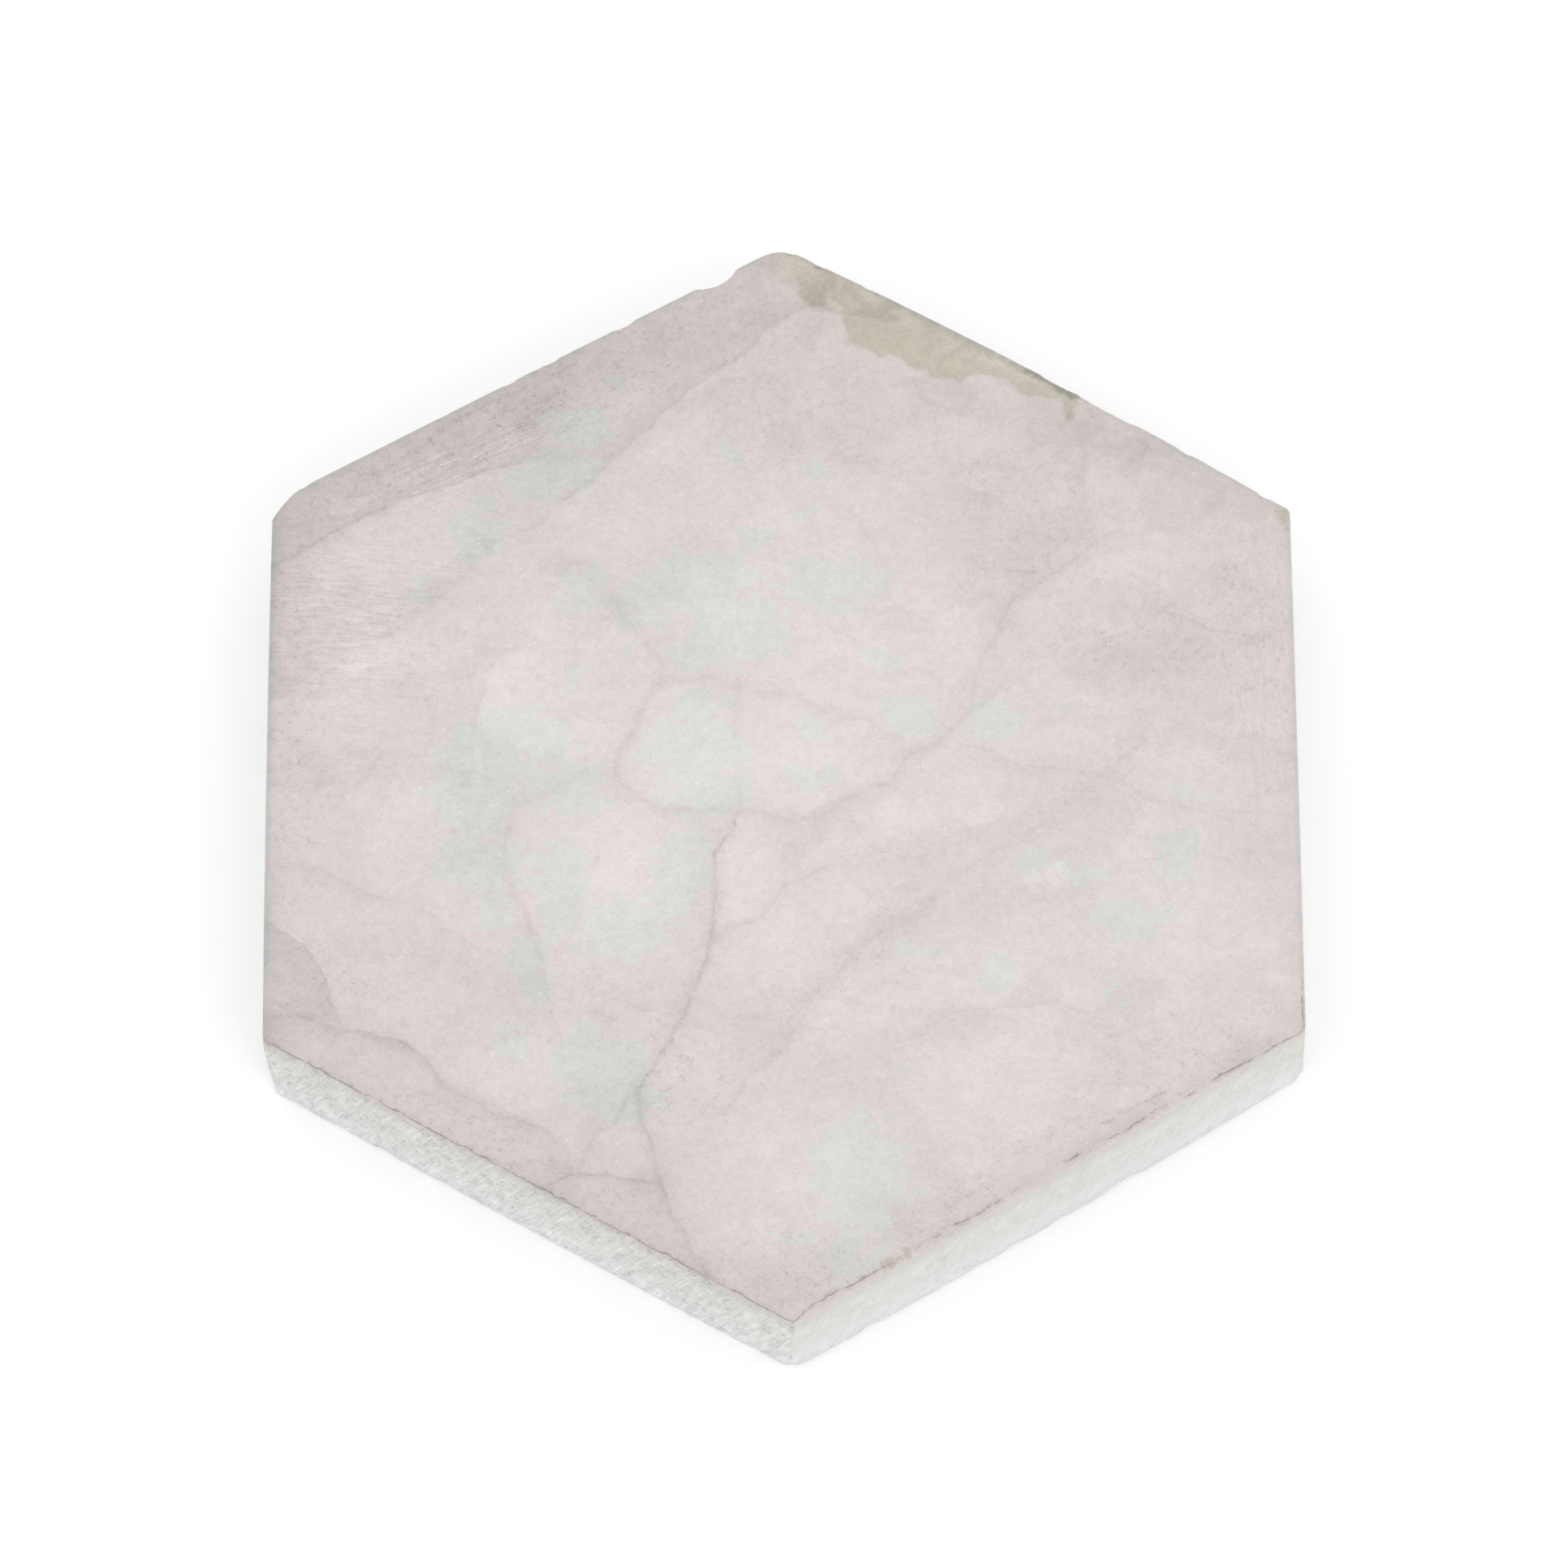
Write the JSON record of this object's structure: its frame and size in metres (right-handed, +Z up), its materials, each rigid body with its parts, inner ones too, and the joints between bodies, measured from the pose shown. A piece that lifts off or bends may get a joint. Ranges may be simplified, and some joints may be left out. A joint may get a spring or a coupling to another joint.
{
  "type": "selenite plate",
  "caption": "Flat six-sided slab sawn from pale satin gypsum, with eased rims, worn corners and a small chip, for laying stones or small things on.",
  "frame": {"origin": "on the surface it rests on, under the middle of the slab's box", "axes": "+Z up through the thickness; a corner of the hexagon points along -Y and one along +Y; the flats facing -X and +X are the pair the width is measured across"},
  "size_m": [0.1008, 0.1154, 0.0116],
  "materials": {
    "selenite": "honed to a soft satin on top, saw marks on the sides, faint veins under the surface"
  },
  "bodies": {
    "root": {"selenite_plate": "selenite"}
  },
  "joints": []
}
